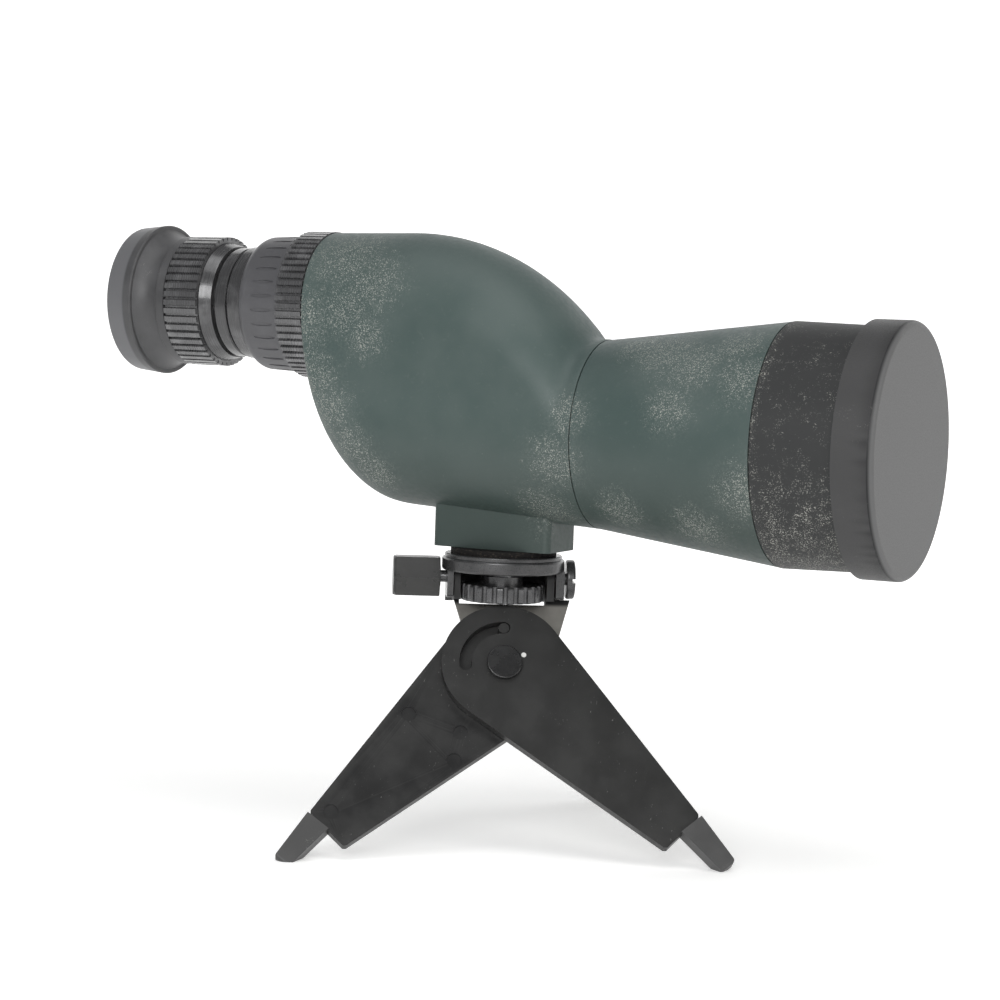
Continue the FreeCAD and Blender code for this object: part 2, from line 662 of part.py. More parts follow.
def tongue(side, grow, z1, z2):
    """Narrow end that the rubber foot grips, on the outer half of the leg's end."""
    root = LEG_LONG - 0.6
    y = side * 2.8
    tip = root + FOOT_LONG + 0.6 - (0 if grow > 1 else 4)
    narrow = 1.5 if grow < 1 else 2.1
    wide = 2.0 if grow < 1 else 3.1
    start = root if grow < 1 else LEG_LONG
    face = path((start, y - wide), (tip, y - narrow), (tip, y + narrow), (start, y + wide))
    blade = flat(face, z1, z2)
    blade.rotate(Vector(LEG_LONG, y, 0), Vector(0, 0, 1), -side * 6)
    return blade


def leg(name, side, direction, z1, head_r, frame, extras=()):
    """One leg plate with its rubber foot; side is where its outer edge lies."""
    z2 = z1 + LEG_T
    plate = flat(leg_outline(head_r), z1, z2)
    plate = plate.fuse(tongue(side, 0.8, z1 + 0.5, z2 - 0.5))
    foot = tongue(side, 1.2, z1 - 0.9, z2 + 0.9)
    tips = [e for e in foot.Edges if e.BoundBox.XMin > LEG_LONG + FOOT_LONG - 4]
    foot = foot.makeFillet(0.9, tips)
    foot = foot.cut(plate)
    plate = plate.cut(Part.makeCylinder(PIVOT_R + RUN, 30, Vector(0, 0, -15)))
    turn = Placement(Vector(0, 0, 0), Rotation(Vector(0, 0, 1), direction))
    plate = placed(plate, turn)
    foot = placed(foot, turn)
    for cut in extras:
        plate = plate.cut(cut)
    sole = box(-90, 90, -90, 90, FLOOR_Z - 20, FLOOR_Z)
    keep_tripod("leg_" + name, placed(plate, frame).cut(sole))
    keep_tripod("foot_" + name, placed(foot, frame).cut(sole))


def stop_slot(z1, z2):
    """Arc slot of the right leg, from straight up round to the left."""
    track = Part.makeCylinder(SLOT_R + SLOT_HALF, z2 - z1, Vector(0, 0, z1), Vector(0, 0, 1), 93)
    track = track.cut(Part.makeCylinder(SLOT_R - SLOT_HALF, z2 - z1 + 2, Vector(0, 0, z1 - 1)))
    track.rotate(Vector(0, 0, 0), Vector(0, 0, 1), 90)
    for a in (90.0, 183.0):
        x = SLOT_R * math.cos(math.radians(a))
        y = SLOT_R * math.sin(math.radians(a))
        track = track.fuse(Part.makeCylinder(SLOT_HALF, z2 - z1, Vector(x, y, z1)))
    return track


def legs():
    right_z = -LEG_T
    left_z = right_z - GAP - LEG_T
    leg("right", 1, -FRONT_SPREAD, right_z, LEG_HEAD_R, front_frame(),
        [stop_slot(right_z - 1, 1.0)])
    marks = []
    for along, across in ((24.5, 7.2), (25.0, -8.4), (54.5, 2.4), (19.0, -4.5)):
        a = math.radians(180 + FRONT_SPREAD)
        x = along * math.cos(a) + across * math.sin(a)
        y = along * math.sin(a) - across * math.cos(a)
        marks.append(Part.makeCylinder(1.8, 1.0, Vector(x, y, left_z + LEG_T - 0.2)))
    pin_hole = Part.makeCylinder(PIN_R, 30, Vector(0, SLOT_R, -15))
    leg("left", -1, 180 + FRONT_SPREAD, left_z, LEG_HEAD_R, front_frame(), marks + [pin_hole])
    pin = Part.makeCylinder(PIN_R, 2 * LEG_T + GAP - 0.3, Vector(0, SLOT_R, left_z))
    keep_tripod("stop_pin", placed(pin, front_frame()))
    leg("rear", -1, 270 - REAR_SWING, GAP, REAR_HEAD_R, rear_frame())


def pivots():
    """Shouldered leg pins riveted in the yoke, with a washer under each cap."""
    low = FRONT_FACE - PLATE_T
    cap_low = 0.5
    cap = Part.makeCylinder(PIVOT_CAP_R, PIVOT_CAP_T, Vector(0, 0, cap_low))
    cap = cap.makeFillet(0.3, [e for e in cap.Edges if e.Closed])
    pin = Part.makeCylinder(PIVOT_R, cap_low - low + 1.2, Vector(0, 0, low - 1.0))
    tail = Part.makeCylinder(3.2, 1.0, Vector(0, 0, low - 1.0))
    keep_tripod("front_pivot_pin", placed(cap.fuse(pin).fuse(tail), front_frame()))
    washer = Part.makeCylinder(3.6, 0.4, Vector(0, 0, 0.05))
    washer = washer.cut(Part.makeCylinder(PIVOT_R, 3, Vector(0, 0, -1)))
    keep_tripod("front_pivot_washer", placed(washer, front_frame()))
    top = GAP + LEG_T
    cap = Part.makeCylinder(PIVOT_CAP_R, PIVOT_CAP_T, Vector(0, 0, top + cap_low))
    cap = cap.makeFillet(0.3, [e for e in cap.Edges if e.Closed])
    pin = Part.makeCylinder(PIVOT_R, top + cap_low + 1.2 + PLATE_T, Vector(0, 0, -PLATE_T - 1.0))
    tail = Part.makeCylinder(3.2, 1.0, Vector(0, 0, -PLATE_T - 1.0))
    keep_tripod("rear_pivot_pin", placed(cap.fuse(pin).fuse(tail), rear_frame()))
    washer = Part.makeCylinder(3.6, 0.4, Vector(0, 0, top + 0.05))
    washer = washer.cut(Part.makeCylinder(PIVOT_R, 9, Vector(0, 0, top - 1)))
    keep_tripod("rear_pivot_washer", placed(washer, rear_frame()))


# ---- output ----------------------------------------------------------------

def place_on_floor():
    """Origin under the middle of the whole object, on the floor."""
    whole = Part.makeCompound(list(PARTS.values())).optimalBoundingBox(False, False)
    move = Vector(-(whole.XMin + whole.XMax) / 2, -(whole.YMin + whole.YMax) / 2, -whole.ZMin)
    for shape in PARTS.values():
        shape.translate(move)
    return move


def write_files():
    os.makedirs("parts", exist_ok=True)
    for name, shape in PARTS.items():
        shape.exportStep("parts/" + name + ".step")


objective_cap()
objective_barrel()
objective_rubber_ring()
objective_glass()
prism_housing()
prism_set()
eyepiece_socket()
focus_parts()
eyepiece_barrel()
zoom_parts()
eye_end()
screw_parts(platform_parts())
tilt_screws()
leg_yoke()
legs()
pivots()
shift = place_on_floor()
print("moved by", [round(v, 3) for v in shift])
write_files()
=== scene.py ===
import math

import bmesh
import bpy
from mathutils import Matrix, Vector


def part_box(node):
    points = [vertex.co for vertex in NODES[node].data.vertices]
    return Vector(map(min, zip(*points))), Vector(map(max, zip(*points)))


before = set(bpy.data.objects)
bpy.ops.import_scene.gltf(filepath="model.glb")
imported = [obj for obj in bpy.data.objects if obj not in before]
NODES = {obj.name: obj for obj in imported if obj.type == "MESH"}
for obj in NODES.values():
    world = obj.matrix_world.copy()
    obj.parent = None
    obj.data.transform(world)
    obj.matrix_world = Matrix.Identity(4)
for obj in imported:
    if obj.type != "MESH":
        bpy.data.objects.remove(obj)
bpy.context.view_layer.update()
MM = 0.001

# Sizes of grain and dust in mm, and the glow of the floor beside and far behind the object.
DUST_SIZE = 0.3
RUBBER_GRAIN = 0.35
PLASTIC_GRAIN = 0.3
NEAR_GLOW = 0.36
FAR_GLOW = 0.84

# The chipped spot beside the cap of the front legs' pin, in metres.
CHIP_PLACE = (0.0122, -0.0141, 0.0459)
CHIP_REACH = 0.0011

# ---- camera ----------------------------------------------------------------
AZIMUTH = math.radians(25.55)
ELEVATION = math.radians(4.0)
ROLL = math.radians(2.01)

# AIM and DISTANCE are in metres and LENS is in mm.
AIM = Vector((5.2, -15.51, 82.4)) * MM
DISTANCE = 0.640
LENS = 97.2


def turned_axes(azimuth, elevation, roll):
    """Right, up and back of a camera that looks along +Y at azimuth 0."""
    back = Vector((math.sin(azimuth) * math.cos(elevation),
                   -math.cos(azimuth) * math.cos(elevation), math.sin(elevation)))
    right = (-back).cross(Vector((0, 0, 1))).normalized()
    up = right.cross(-back)
    tilted = right * math.cos(roll) + up * math.sin(roll)
    return tilted, tilted.cross(-back), back


def add_camera():
    """The camera, DISTANCE metres from AIM and rolled by ROLL."""
    data = bpy.data.cameras.new("view")
    data.lens = LENS
    data.sensor_width = 36.0
    data.clip_start = 0.02
    camera = bpy.data.objects.new("view", data)
    right, up, back = turned_axes(AZIMUTH, ELEVATION, ROLL)
    turn = Matrix((right, up, back)).transposed().to_4x4()
    camera.matrix_world = Matrix.Translation(AIM + back * DISTANCE) @ turn
    bpy.context.collection.objects.link(camera)
    bpy.context.scene.camera = camera


add_camera()


# ---- small helpers for node materials ---------------------------------------

class Shade:
    """A principled material with short calls for the nodes that feed it."""

    def __init__(self, name, colour, roughness, metallic=0.0, specular=0.5):
        self.material = bpy.data.materials.new(name)
        self.material.use_nodes = True
        self.tree = self.material.node_tree
        self.nodes = self.tree.nodes
        self.links = self.tree.links
        self.shader = self.nodes["Principled BSDF"]
        self.shader.inputs["Base Color"].default_value = (*colour, 1.0)
        self.shader.inputs["Roughness"].default_value = roughness
        self.shader.inputs["Metallic"].default_value = metallic
        self.shader.inputs["Specular IOR Level"].default_value = specular
        self.place = self.nodes.new("ShaderNodeTexCoord").outputs["Object"]
        self.height = None

    def link(self, source, socket):
        """Feeds one input of the principled shader."""
        self.links.new(source, self.shader.inputs[socket])

    def stretch(self, scale, turn=(0, 0, 0)):
        """The place on the object, turned and scaled along each axis."""
        node = self.nodes.new("ShaderNodeMapping")
        node.inputs["Scale"].default_value = scale
        node.inputs["Rotation"].default_value = turn
        self.links.new(self.place, node.inputs["Vector"])
        return node.outputs["Vector"]

    def noise(self, size_mm, detail, rough=0.55, vector=None):
        """Noise whose features are about size_mm across, from 0 to 1."""
        node = self.nodes.new("ShaderNodeTexNoise")
        node.inputs["Scale"].default_value = 1.0 / (size_mm * MM)
        node.inputs["Detail"].default_value = detail
        node.inputs["Roughness"].default_value = rough
        self.links.new(vector or self.place, node.inputs["Vector"])
        return node.outputs["Fac"]

    def cells(self, size_mm):
        """Distance from the middle, and colour, of cells about size_mm across."""
        node = self.nodes.new("ShaderNodeTexVoronoi")
        node.inputs["Scale"].default_value = 1.0 / (size_mm * MM)
        self.links.new(self.place, node.inputs["Vector"])
        return node.outputs["Distance"], node.outputs["Color"]

    def ramp(self, value, low, high, out_low=0.0, out_high=1.0):
        """Maps low..high to out_low..out_high with soft ends."""
        node = self.nodes.new("ShaderNodeMapRange")
        node.interpolation_type = "SMOOTHSTEP"
        node.inputs["From Min"].default_value = low
        node.inputs["From Max"].default_value = high
        node.inputs["To Min"].default_value = out_low
        node.inputs["To Max"].default_value = out_high
        self.links.new(value, node.inputs["Value"])
        return node.outputs["Result"]

    def math(self, kind, a, b):
        """One calculation with two values, each a number or an output."""
        node = self.nodes.new("ShaderNodeMath")
        node.operation = kind
        for socket, value in zip(node.inputs, (a, b)):
            if isinstance(value, (int, float)):
                socket.default_value = value
            else:
                self.links.new(value, socket)
        return node.outputs[0]

    def axis(self, name):
        """One coordinate of the place on the object."""
        node = self.nodes.new("ShaderNodeSeparateXYZ")
        self.links.new(self.place, node.inputs[0])
        return node.outputs[name]

    def folded(self, middle_y):
        """The place with its far half mirrored to the near half, about a plane across Y."""
        split = self.nodes.new("ShaderNodeSeparateXYZ")
        self.links.new(self.place, split.inputs[0])
        aside = self.math("ABSOLUTE", self.math("SUBTRACT", split.outputs["Y"], middle_y), 0.0)
        joined = self.nodes.new("ShaderNodeCombineXYZ")
        self.links.new(split.outputs["X"], joined.inputs["X"])
        self.links.new(self.math("SUBTRACT", middle_y, aside), joined.inputs["Y"])
        self.links.new(split.outputs["Z"], joined.inputs["Z"])
        return joined.outputs[0]

    def near(self, centre, radius, vector=None):
        """1 at a place on the object, in metres, falling to 0 at radius."""
        node = self.nodes.new("ShaderNodeVectorMath")
        node.operation = "DISTANCE"
        node.inputs[1].default_value = centre
        self.links.new(vector or self.place, node.inputs[0])
        return self.ramp(node.outputs["Value"], radius, 0.0)

    def pointiness(self):
        """Above 0.5 on outward edges and below it in grooves."""
        return self.nodes.new("ShaderNodeNewGeometry").outputs["Pointiness"]

    def blend(self, fac, a, b):
        """Colour a where fac is 0 and b where it is 1."""
        node = self.nodes.new("ShaderNodeMix")
        node.data_type = "RGBA"
        for socket, value in ((node.inputs[6], a), (node.inputs[7], b)):
            if isinstance(value, tuple):
                socket.default_value = (*value, 1.0)
            else:
                self.links.new(value, socket)
        self.links.new(fac, node.inputs[0])
        return node.outputs[2]

    def bump(self, value, depth_mm, strength):
        """Adds relief on top of the relief that is already there."""
        node = self.nodes.new("ShaderNodeBump")
        node.inputs["Strength"].default_value = strength
        node.inputs["Distance"].default_value = depth_mm * MM
        self.links.new(value, node.inputs["Height"])
        if self.height is not None:
            self.links.new(self.height, node.inputs["Normal"])
        self.height = node.outputs["Normal"]
        self.link(self.height, "Normal")


def coat(shade, weight, roughness):
    """A thin clear layer on top of the material."""
    shade.shader.inputs["Coat Weight"].default_value = weight
    shade.shader.inputs["Coat Roughness"].default_value = roughness


def lint(shade, size_mm, wanted):
    """Short curled threads, where wanted is high; returns a 0..1 mask."""
    lines = shade.noise(size_mm * 2.2, 1.0, 0.5)
    off_line = shade.math("ABSOLUTE", shade.math("SUBTRACT", lines, 0.5), 0.0)
    thin = shade.ramp(off_line, 0.03, 0.01)
    pieces = shade.ramp(shade.noise(size_mm * 1.2, 2.0, 0.6), 0.54, 0.62)
    scatter = shade.math("ADD", shade.math("MULTIPLY", wanted, 0.42), shade.noise(3.1, 4.0, 0.7))
    chosen = shade.ramp(scatter, 0.70, 0.86)
    return shade.math("MULTIPLY", shade.math("MULTIPLY", thin, pieces), chosen)


def dust(shade, wanted):
    """Fine pale specks with a little lint, where wanted is high; returns a 0..1 mask."""
    dots = shade.ramp(shade.noise(DUST_SIZE, 1.5, 0.6), 0.56, 0.64)
    scatter = shade.math("ADD", shade.math("MULTIPLY", wanted, 0.42), shade.noise(1.9, 4.0, 0.75))
    chosen = shade.ramp(scatter, 0.62, 0.93)
    specks = shade.math("MULTIPLY", dots, chosen)
    return shade.math("MAXIMUM", specks, lint(shade, DUST_SIZE * 1.7, wanted))


def dusted(shade, colour, marks, strength, pale):
    """The colour, covered by pale dust where marks are 1."""
    return shade.blend(shade.math("MULTIPLY", marks, strength), colour, pale)


# ---- materials ---------------------------------------------------------------

def dusty_places(shade):
    """Where dust has settled on the green body: patches beside its edges and seams.

    Each patch is X, the distance aside of the body's middle plane, Z and a radius, in mm.
    """
    middle = sum(corner[1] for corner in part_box("prism_housing")) / 2
    half = shade.folded(middle)
    back = ((-36, -14, 139, 13), (-26, -18, 133, 9), (-34, -18.5, 126, 9), (-28, -19, 120, 7),
            (-44, -18, 124, 9), (-43, -18, 110, 9), (-37, -18.5, 102, 8), (-32, -17.5, 94, 7),
            (-26, -15, 87, 7), (24, -21.5, 93, 8), (19, -13, 81, 9), (27, -22, 104, 6))
    front = ((40, -10, 120, 7), (48, -14, 119, 9), (56, -19, 116, 9), (66, -16, 121, 8),
             (53, -24, 107, 7), (70, -23, 114, 8), (73, -26, 88, 9), (59, -18, 79, 8),
             (39, -17, 82, 7))
    total = None
    for x, aside, z, radius in back + front:
        centre = Vector((x, aside, z)) * MM + Vector((0, middle, 0))
        patch = shade.near(centre, 1.6 * radius * MM, half)
        total = patch if total is None else shade.math("MAXIMUM", total, patch)
    return total


def green_armour():
    """Dull green textured coat with pale dust lodged in it, and painted shade that darkens its
    underside.
    """
    shade = Shade("green_armour", (0.070, 0.100, 0.094), 0.5, specular=0.4)
    cloud = shade.noise(26, 4.0, 0.5)
    tone = shade.blend(shade.ramp(cloud, 0.34, 0.66), (0.054, 0.082, 0.077), (0.076, 0.104, 0.098))
    mottled = shade.noise(1.3, 5.0, 0.65)
    tone = shade.blend(shade.ramp(mottled, 0.55, 0.85, 0.0, 0.6), tone, (0.11, 0.14, 0.13))
    # Painted shade: the coat is darkened towards the bottom, where the body faces away from the lights.
    under = shade.ramp(shade.axis("Z"), 0.106, 0.078, 0.0, 0.62)
    tone = shade.blend(under, tone, (0.030, 0.042, 0.036))
    wanted = dusty_places(shade)
    haze = shade.math("MULTIPLY", wanted, shade.ramp(shade.noise(0.6, 5.0, 0.75), 0.4, 0.75))
    tone = dusted(shade, tone, haze, 0.4, (0.24, 0.26, 0.24))
    marks = dust(shade, wanted)
    tone = dusted(shade, tone, marks, 0.72, (0.42, 0.43, 0.39))
    shade.link(tone, "Base Color")
    rough = shade.ramp(mottled, 0.3, 0.8, 0.44, 0.6)
    shade.link(shade.math("MAXIMUM", rough, shade.math("MULTIPLY", marks, 0.85)), "Roughness")
    shade.bump(shade.noise(0.45, 3.0, 0.6), 0.03, 0.5)
    shade.bump(marks, 0.03, 0.5)
    return shade.material


def rubber(name, tone, dusty, roughness=0.6):
    """Soft moulded rubber with a fine grain and dust in its pores."""
    shade = Shade(name, tone, roughness, specular=0.4)
    cloud = shade.noise(12, 4.0, 0.55)
    lighter = tuple(c * 1.25 + 0.002 for c in tone)
    colour = shade.blend(shade.ramp(cloud, 0.35, 0.7), tone, lighter)
    wanted = shade.ramp(shade.noise(7, 4.0, 0.6), 0.45, 0.65, 0.0, dusty)
    marks = dust(shade, wanted)
    colour = dusted(shade, colour, marks, 0.6, (0.42, 0.42, 0.39))
    shade.link(colour, "Base Color")
    shade.link(shade.ramp(cloud, 0.3, 0.7, roughness - 0.06, roughness + 0.08), "Roughness")
    shade.bump(shade.noise(RUBBER_GRAIN, 3.0, 0.6), 0.02, 0.5)
    return shade.material


def eyecup_rubber():
    """Grey-black eyecup whose outer band is paler than its waist."""
    shade = Shade("eyecup_rubber", (0.08, 0.08, 0.083), 0.45, specular=0.4)
    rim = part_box("eyecup")[0][0]
    band = shade.ramp(shade.axis("X"), rim + 0.0056, rim + 0.0048)
    cloud = shade.noise(9, 4.0, 0.55)
    colour = shade.blend(shade.ramp(cloud, 0.35, 0.7), (0.062, 0.062, 0.064), (0.082, 0.082, 0.085))
    colour = shade.blend(band, colour, (0.135, 0.136, 0.142))
    marks = dust(shade, shade.ramp(cloud, 0.5, 0.7, 0.0, 0.3))
    shade.link(dusted(shade, colour, marks, 0.5, (0.4, 0.4, 0.38)), "Base Color")
    shade.link(shade.ramp(cloud, 0.3, 0.7, 0.38, 0.52), "Roughness")
    shade.bump(shade.noise(RUBBER_GRAIN, 3.0, 0.6), 0.02, 0.5)
    return shade.material


def armoured_rubber():
    """The ring round the objective: charcoal, and dustiest low down and at its rear edge."""
    shade = Shade("ring_rubber", (0.034, 0.035, 0.035), 0.6, specular=0.4)
    low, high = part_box("objective_rubber_ring")
    middle = (low[2] + high[2]) / 2
    under = shade.ramp(shade.axis("Z"), middle, low[2] + 0.008, 0.0, 0.6)
    rear = shade.ramp(shade.axis("X"), low[0] + 0.004, low[0], 0.0, 0.5)
    colour = shade.blend(shade.noise(14, 3.0, 0.5), (0.018, 0.019, 0.020), (0.030, 0.031, 0.031))
    clouds = shade.ramp(shade.noise(5, 5.0, 0.65), 0.36, 0.62, 0.5, 1.0)
    worst = shade.math("ADD", shade.math("MAXIMUM", under, rear), 0.4)
    wanted = shade.math("MULTIPLY", clouds, worst)
    marks = dust(shade, wanted)
    colour = dusted(shade, colour, marks, 0.72, (0.44, 0.44, 0.40))
    shade.link(colour, "Base Color")
    shade.link(shade.ramp(marks, 0.0, 1.0, 0.58, 0.9), "Roughness")
    shade.bump(shade.noise(0.4, 3.0, 0.6), 0.02, 0.5)
    return shade.material


def black_plastic(name, tone, roughness, scuffs, specular=0.5, chipped=False):
    """Moulded black plastic with a fine grain, paler outward edges and hair scratches, and a chip if
    asked.
    """
    base = (tone, tone, tone * 1.03)
    shade = Shade(name, base, roughness, specular=specular)
    cloud = shade.noise(8, 5.0, 0.6)
    paler_tone = (tone * 2.6 + 0.008, tone * 2.6 + 0.008, tone * 2.5 + 0.008)
    colour = shade.blend(shade.ramp(cloud, 0.42, 0.75, 0.0, 0.25), base, paler_tone)
    edges = shade.ramp(shade.pointiness(), 0.52, 0.6, 0.0, 0.5)
    colour = shade.blend(edges, colour, paler_tone)
    long = shade.stretch((1.0, 0.12, 0.5), (0.4, 0.2, 0.7))
    hairs = shade.ramp(shade.noise(0.5, 2.0, 0.8, long), 0.66, 0.74)
    hairs = shade.math("MULTIPLY", hairs, shade.ramp(shade.noise(10, 3.0, 0.5), 0.5, 0.66))
    hairs = shade.math("MULTIPLY", hairs, scuffs)
    colour = shade.blend(hairs, colour, (0.16, 0.16, 0.155))
    if chipped:
        spot = shade.ramp(shade.near(CHIP_PLACE, CHIP_REACH), 0.35, 0.5)
        colour = shade.blend(spot, colour, (0.75, 0.75, 0.73))
    shade.link(colour, "Base Color")
    shade.link(shade.ramp(cloud, 0.3, 0.75, roughness - 0.07, roughness + 0.12), "Roughness")
    shade.bump(shade.noise(PLASTIC_GRAIN, 2.0, 0.5), 0.012, 0.35)
    return shade.material


def gloss_black(name, tone, metallic, roughness, turned=True):
    """Polished black, with faint turning marks round the optical axis or fine grain."""
    shade = Shade(name, (tone, tone, tone * 1.03), roughness, metallic, specular=0.6)
    stretched = shade.stretch((1.0, 0.02, 0.02)) if turned else None
    lines = shade.noise(0.25, 2.0, 0.6, stretched)
    shade.link(shade.ramp(lines, 0.3, 0.7, roughness - 0.05, roughness + 0.09), "Roughness")
    smear = shade.ramp(shade.noise(5, 5.0, 0.6), 0.45, 0.7)
    darker = (tone * 0.75, tone * 0.75, tone * 0.77)
    colour = shade.blend(smear, darker, (tone * 1.25, tone * 1.25, tone * 1.28))
    marks = dust(shade, shade.ramp(shade.noise(3, 4.0, 0.6), 0.45, 0.7, 0.0, 0.45))
    shade.link(dusted(shade, colour, marks, 0.35, (0.4, 0.4, 0.38)), "Base Color")
    shade.bump(lines, 0.006, 0.2)
    coat(shade, 0.3, 0.08)
    return shade.material


def cap_plastic():
    """Fine-grained matt cap: its side is nearly black and its edges are paler; its face is painted pale
    grey, painted light for the lamp falling on it.
    """
    shade = Shade("cap_plastic", (0.034, 0.034, 0.035), 0.5, specular=0.35)
    grain = shade.noise(0.35, 3.0, 0.65)
    cloud = shade.noise(16, 5.0, 0.55)
    tone = shade.blend(shade.ramp(cloud, 0.35, 0.7), (0.008, 0.008, 0.009), (0.014, 0.014, 0.015))
    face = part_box("objective_cap")[1][0]
    # Painted light: the front face is painted pale grey to stand in for the light falling on it.
    front = shade.ramp(shade.axis("X"), face - 0.0012, face - 0.0004)
    tone = shade.blend(front, tone, (0.105, 0.106, 0.107))
    edges = shade.ramp(shade.pointiness(), 0.51, 0.57, 0.0, 0.3)
    tone = shade.blend(edges, tone, (0.14, 0.14, 0.14))
    marks = dust(shade, shade.ramp(cloud, 0.45, 0.7, 0.0, 0.3))
    tone = dusted(shade, tone, marks, 0.5, (0.36, 0.36, 0.34))
    shade.link(tone, "Base Color")
    shade.link(shade.ramp(grain, 0.3, 0.7, 0.44, 0.58), "Roughness")
    shade.bump(grain, 0.02, 0.4)
    return shade.material


def black_anodised():
    """Dark anodised metal with turning marks round the optical axis."""
    shade = Shade("black_anodised", (0.02, 0.02, 0.021), 0.42, metallic=0.6)
    turned = shade.stretch((1.0, 0.03, 0.03))
    lines = shade.noise(0.3, 3.0, 0.6, turned)
    shade.link(shade.ramp(lines, 0.3, 0.7, 0.34, 0.5), "Roughness")
    shade.link(shade.blend(shade.noise(3, 4.0), (0.014, 0.014, 0.015), (0.03, 0.03, 0.031)),
               "Base Color")
    shade.bump(lines, 0.01, 0.3)
    return shade.material


def metal(name, tone, roughness):
    """Machined metal with turning lines and clouds of tarnish."""
    shade = Shade(name, tone, roughness, metallic=1.0)
    lines = shade.noise(0.18, 3.0, 0.6, shade.stretch((0.15, 0.15, 1.0)))
    cloud = shade.noise(2.5, 5.0, 0.6)
    dark = tuple(c * 0.62 for c in tone)
    shade.link(shade.blend(shade.ramp(cloud, 0.35, 0.7), dark, tone), "Base Color")
    shade.link(shade.ramp(lines, 0.3, 0.7, roughness - 0.08, roughness + 0.1), "Roughness")
    shade.bump(lines, 0.008, 0.35)
    return shade.material


def coated_glass():
    """Lens glass with a faint violet sheen from its coating."""
    clear = (0.86, 0.95, 0.93)
    shade = Shade("coated_glass", clear, 0.03, specular=0.7)
    shade.shader.inputs["Transmission Weight"].default_value = 1.0
    shade.shader.inputs["IOR"].default_value = 1.52
    marks = dust(shade, shade.ramp(shade.noise(4, 3.0), 0.5, 0.7, 0.0, 0.4))
    shade.link(shade.blend(marks, clear, (0.6, 0.66, 0.64)), "Base Color")
    shade.link(shade.ramp(shade.noise(6, 4.0, 0.6), 0.4, 0.7, 0.02, 0.07), "Roughness")
    coat(shade, 0.4, 0.03)
    shade.shader.inputs["Coat Tint"].default_value = (0.62, 0.55, 0.95, 1.0)
    return shade.material


def cork_pad():
    """Dark cork-and-rubber pad: granules of two dark browns pressed together."""
    shade = Shade("cork_pad", (0.02, 0.018, 0.016), 0.85, specular=0.2)
    far, colour = shade.cells(0.6)
    tone = shade.blend(shade.ramp(colour, 0.2, 0.8), (0.012, 0.011, 0.010), (0.034, 0.029, 0.024))
    shade.link(shade.blend(shade.ramp(far, 0.3, 0.55), tone, (0.010, 0.009, 0.009)), "Base Color")
    shade.bump(far, 0.1, 0.5)
    return shade.material


def yoke_painted_reflection():
    """Cast black frame whose body is painted warm grey with paler edges, a painted reflection of the
    light from above; its ears at the top keep the frame's near-black colour.
    """
    shade = Shade("yoke_painted_reflection", (0.14, 0.135, 0.12), 0.5, specular=0.4)
    cloud = shade.noise(5, 5.0, 0.6)
    # Painted reflection: the warm grey stands in for light from above mirrored by the frame's leaning
    # black plates.
    tone = shade.blend(shade.ramp(cloud, 0.35, 0.7), (0.115, 0.11, 0.10), (0.165, 0.16, 0.145))
    edges = shade.ramp(shade.pointiness(), 0.52, 0.6, 0.0, 0.4)
    tone = shade.blend(edges, tone, (0.26, 0.25, 0.23))
    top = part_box("leg_yoke")[1][2]
    # The ears at the top keep the frame's own near-black colour.
    ears = shade.ramp(shade.axis("Z"), top - 0.0102, top - 0.0092)
    shade.link(shade.blend(ears, tone, (0.014, 0.014, 0.014)), "Base Color")
    shade.link(shade.ramp(cloud, 0.3, 0.7, 0.42, 0.6), "Roughness")
    shade.bump(shade.noise(0.4, 3.0, 0.6), 0.03, 0.5)
    return shade.material


def floor_paper():
    """White seamless paper that glows, more so far behind the object."""
    shade = Shade("floor_paper", (0.88, 0.88, 0.88), 0.9, specular=0.1)
    cloud = shade.noise(180, 2.0, 0.5)
    shade.link(shade.blend(cloud, (0.87, 0.87, 0.865), (0.89, 0.89, 0.885)), "Base Color")
    shade.shader.inputs["Emission Color"].default_value = (1.0, 1.0, 0.995, 1.0)
    near = shade.ramp(shade.axis("Y"), -0.42, -0.16, 0.0, NEAR_GLOW)
    far = shade.ramp(shade.axis("Y"), 0.0, 0.8, 0.0, FAR_GLOW - NEAR_GLOW)
    shade.link(shade.math("ADD", near, far), "Emission Strength")
    return shade.material


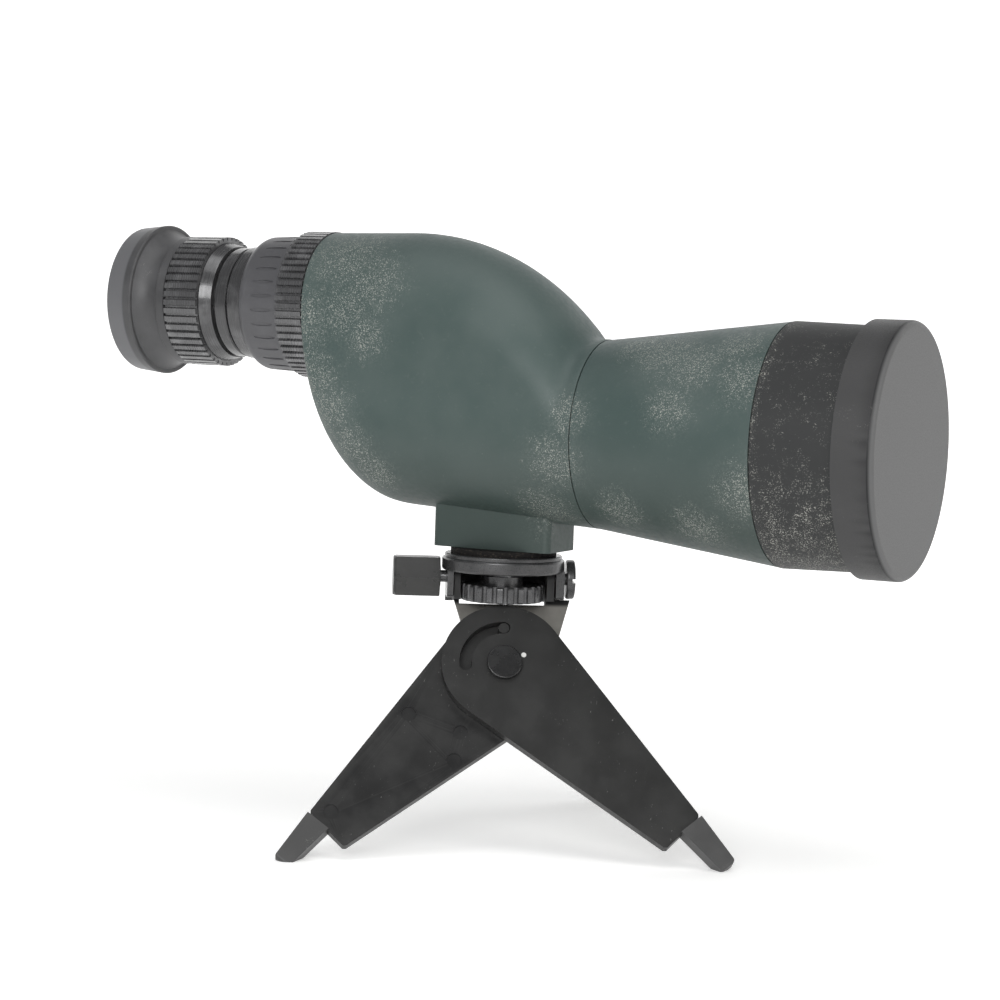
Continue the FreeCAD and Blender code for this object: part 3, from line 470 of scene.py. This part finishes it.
def paint_nodes():
    """Gives every CAD node its material."""
    sets = {
        green_armour(): ("prism_housing", "objective_barrel"),
        armoured_rubber(): ("objective_rubber_ring",),
        rubber("grip_rubber", (0.082, 0.082, 0.087), 0.1, roughness=0.4): ("focus_grip",),
        eyecup_rubber(): ("eyecup",),
        rubber("foot_rubber", (0.052, 0.052, 0.052), 0.3, roughness=0.45):
            ("foot_left", "foot_right", "foot_rear"),
        rubber("seal_rubber", (0.02, 0.02, 0.02), 0.0): ("objective_o_ring",),
        cap_plastic(): ("objective_cap",),
        gloss_black("tube_black", 0.10, 0.5, 0.24): ("eyepiece_barrel",),
        gloss_black("knurl_black", 0.16, 0.55, 0.26): ("focus_ring", "zoom_ring"),
        gloss_black("disc_black", 0.06, 0.4, 0.3, False): ("camera_platform", "tilt_pivot_screw"),
        gloss_black("wheel_black", 0.10, 0.5, 0.28, False): ("thumb_wheel", "tilt_stud"),
        black_plastic("knob_plastic", 0.02, 0.3, 0.4): ("tilt_knob",),
        black_plastic("leg_plastic", 0.011, 0.36, 0.9, specular=0.32, chipped=True):
            ("leg_left", "leg_right", "leg_rear", "stop_pin"),
        black_plastic("pin_plastic", 0.012, 0.28, 0.2): ("front_pivot_pin", "rear_pivot_pin"),
        black_anodised(): ("objective_cell", "objective_retaining_ring", "light_baffle",
                           "eyepiece_socket", "eye_lens_cell", "eye_lens_retainer",
                           "zoom_cam_sleeve", "front_zoom_cell", "rear_zoom_cell", "prism_tray"),
        coated_glass(): ("crown_lens", "flint_lens", "pechan_prism", "schmidt_prism",
                         "rhomboid_prism", "front_zoom_lens", "rear_zoom_lens", "eye_lens"),
        metal("brass", (0.72, 0.53, 0.24), 0.3): ("tripod_insert",),
        metal("steel", (0.52, 0.52, 0.53), 0.3):
            ("prism_posts", "prism_clips", "zoom_key_screw", "camera_screw", "screw_clip",
             "front_pivot_washer", "rear_pivot_washer"),
        cork_pad(): ("platform_pad",),
        yoke_painted_reflection(): ("leg_yoke",),
    }
    painted = set()
    for material, names in sets.items():
        for name in names:
            node = NODES[name]
            node.data.materials.clear()
            node.data.materials.append(material)
            painted.add(name)
    left = set(NODES) - painted
    assert not left, left


# ---- stage -------------------------------------------------------------------

def sweep():
    """Pale floor that curves up into a backdrop behind the object."""
    depth = 1.6
    bend = 0.9
    rise = 2.6
    steps = 16
    width = 3.5
    front = -2.6
    outline = [(front, 0.0), (depth, 0.0)]
    for i in range(1, steps + 1):
        a = math.pi / 2 * i / steps
        outline.append((depth + bend * math.sin(a), bend * (1 - math.cos(a))))
    outline.append((depth + bend, rise))
    mesh = bpy.data.meshes.new("floor")
    builder = bmesh.new()
    rows = [[builder.verts.new((side * width, y, z)) for side in (-1, 1)] for y, z in outline]
    for a, b in zip(rows, rows[1:]):
        builder.faces.new((a[0], a[1], b[1], b[0])).smooth = True
    builder.to_mesh(mesh)
    builder.free()
    floor = bpy.data.objects.new("floor", mesh)
    floor.rotation_euler = (0, 0, AZIMUTH)
    mesh.materials.append(floor_paper())
    bpy.context.collection.objects.link(floor)


def softbox(name, azimuth, elevation, distance, size, power, colour=(1, 1, 1)):
    """Area light that faces the object from a direction given as for the camera.

    Angles are in degrees, distance and size in metres and power in watts.
    """
    data = bpy.data.lights.new(name, "AREA")
    data.shape = "RECTANGLE"
    data.size = size[0]
    data.size_y = size[1]
    data.energy = power
    data.color = colour
    light = bpy.data.objects.new(name, data)
    right, up, back = turned_axes(math.radians(azimuth), math.radians(elevation), 0)
    turn = Matrix((right, up, back)).transposed().to_4x4()
    light.matrix_world = Matrix.Translation(AIM + back * distance) @ turn
    bpy.context.collection.objects.link(light)


def studio():
    """A dim white room and three soft lights."""
    world = bpy.data.worlds.new("room")
    world.use_nodes = True
    background = world.node_tree.nodes["Background"]
    background.inputs["Color"].default_value = (0.97, 0.98, 1.0, 1.0)
    background.inputs["Strength"].default_value = 0.2
    bpy.context.scene.world = world
    bpy.context.scene.view_settings.view_transform = "Standard"
    softbox("overhead", 20, 78, 1.1, (1.0, 0.7), 4)
    softbox("front", 15, 20, 1.1, (0.7, 0.45), 7)
    softbox("right_side", 88, 18, 1.0, (0.5, 0.7), 3, (1.0, 0.98, 0.95))


paint_nodes()
sweep()
studio()
